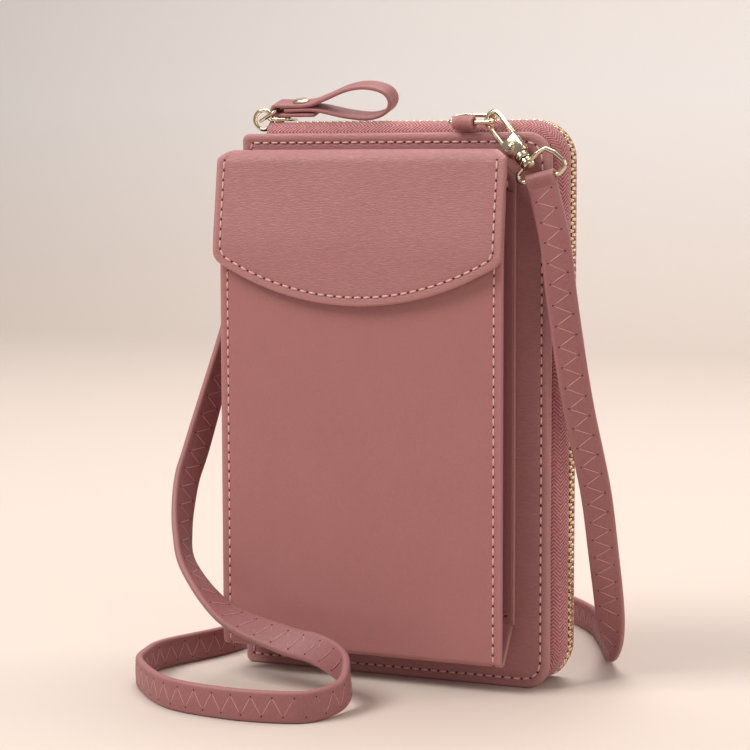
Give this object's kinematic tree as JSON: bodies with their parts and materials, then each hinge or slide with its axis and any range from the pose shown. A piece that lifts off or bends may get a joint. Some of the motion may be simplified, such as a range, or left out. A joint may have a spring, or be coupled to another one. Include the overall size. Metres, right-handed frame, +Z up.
{
  "type": "crossbody bag",
  "caption": "Zip-round leather phone wallet with a flap pouch on its front, and a long flat strap clipped to two D-rings by swivel snap hooks.",
  "frame": {"origin": "on the surface that the bag stands on, below the middle of the bag without its strap and clips", "axes": "+Z up, -Y the side with the flap pouch, +X towards the zip's long side, which is the viewer's right when facing the pouch"},
  "size_m": [0.1595, 0.2102, 0.2077],
  "materials": {
    "leather": "dusty rose grained leather",
    "strap_leather": "dusty rose smooth leather, zigzag stitched",
    "lining": "matt rose lining",
    "zip_tape": "woven rose tape",
    "gold_metal": "polished pale gold plating",
    "magnet": "plain plated steel"
  },
  "bodies": {
    "wallet": {"front_cover": "leather", "spine": "leather", "front_zip_tape": "zip_tape", "front_zip_teeth": "gold_metal", "front_card_panel": "lining", "middle_pocket": "lining", "pouch_back": "leather", "pouch_front": "leather", "pouch_gusset_right": "leather", "pouch_gusset_left": "leather", "flap_root": "leather", "pouch_snap": "magnet", "right_tab": "leather", "left_tab": "leather", "right_swivel": "gold_metal", "left_swivel": "gold_metal", "right_strap_fold": "strap_leather", "left_strap_fold": "strap_leather", "strap": "strap_leather"},
    "flap": {"flap_top": "leather"},
    "flap_end": {"flap_front": "leather", "flap_snap": "magnet"},
    "back": {"back_cover": "leather", "back_zip_tape": "zip_tape", "back_zip_teeth": "gold_metal", "back_card_panel": "lining"},
    "slider": {"zip_slider": "gold_metal"},
    "ring": {"pull_ring": "gold_metal"},
    "pull": {"pull_link": "gold_metal", "pull_leather": "leather", "pull_rivet": "gold_metal"},
    "right_ring": {"right_d_ring": "gold_metal"},
    "left_ring": {"left_d_ring": "gold_metal"},
    "right_clip": {"right_hook": "gold_metal", "right_gate_pin": "gold_metal"},
    "left_clip": {"left_hook": "gold_metal", "left_gate_pin": "gold_metal"},
    "right_clip_gate": {"right_gate": "gold_metal"},
    "left_clip_gate": {"left_gate": "gold_metal"}
  },
  "joints": [
    {"name": "flap_lift", "type": "hinge", "parent": "wallet", "child": "flap", "pos_m": [0, -0.00425, 0.1824], "axis": [-1, 0, 0], "range_deg": [0, 60]},
    {"name": "flap_fold", "type": "hinge", "parent": "flap", "child": "flap_end", "pos_m": [0, -0.0183, 0.1843], "axis": [-1, 0, 0], "range_deg": [0, 100]},
    {"name": "cover_hinge", "type": "hinge", "parent": "wallet", "child": "back", "pos_m": [-0.05607, 0.01815, 0], "axis": [0, 0, 1], "range_deg": [0, 50]},
    {"name": "slider_travel", "type": "slide", "parent": "wallet", "child": "slider", "axis": [1, 0, 0], "range_m": [0, 0.08], "deforming": ["front_zip_teeth", "back_zip_teeth"]},
    {"name": "ring_swing", "type": "hinge", "parent": "slider", "child": "ring", "pos_m": [-0.04942, 0.00935, 0.195], "axis": [0, 0, 1], "range_deg": [0, 12]},
    {"name": "pull_lift", "type": "hinge", "parent": "ring", "child": "pull", "pos_m": [-0.05368, 0.00935, 0.195], "axis": [0, -1, 0], "range_deg": [0, 80]},
    {"name": "right_ring_swing", "type": "hinge", "parent": "wallet", "child": "right_ring", "pos_m": [0.03103, -0.00305, 0.1932], "axis": [1, 0, 0], "range_deg": [0, 5]},
    {"name": "left_ring_swing", "type": "hinge", "parent": "wallet", "child": "left_ring", "pos_m": [-0.05958, 0.00935, 0.18], "axis": [0, 1, 0], "range_deg": [0, 4]},
    {"name": "right_hook_swivel", "type": "hinge", "parent": "wallet", "child": "right_clip", "pos_m": [0.04533, -0.00478, 0.18723], "axis": [-0.6635, 0.3197, 0.6765], "range_deg": [-2, 3]},
    {"name": "left_hook_swivel", "type": "hinge", "parent": "wallet", "child": "left_clip", "pos_m": [-0.0632, 0.00935, 0.16404], "axis": [0.0499, 0, 0.9988], "range_deg": [-8, 8]},
    {"name": "right_gate_press", "type": "hinge", "parent": "right_clip", "child": "right_clip_gate", "pos_m": [0.04715, -0.00587, 0.18451], "axis": [0.224, 0.9475, -0.2282], "range_deg": [0, 14], "stiffness_Nm_per_rad": 0.02, "springref_deg": -11.46},
    {"name": "left_gate_press", "type": "hinge", "parent": "left_clip", "child": "left_clip_gate", "pos_m": [-0.06397, 0.00935, 0.16068], "axis": [0, 1, 0], "range_deg": [0, 14], "stiffness_Nm_per_rad": 0.02, "springref_deg": -11.46}
  ]
}
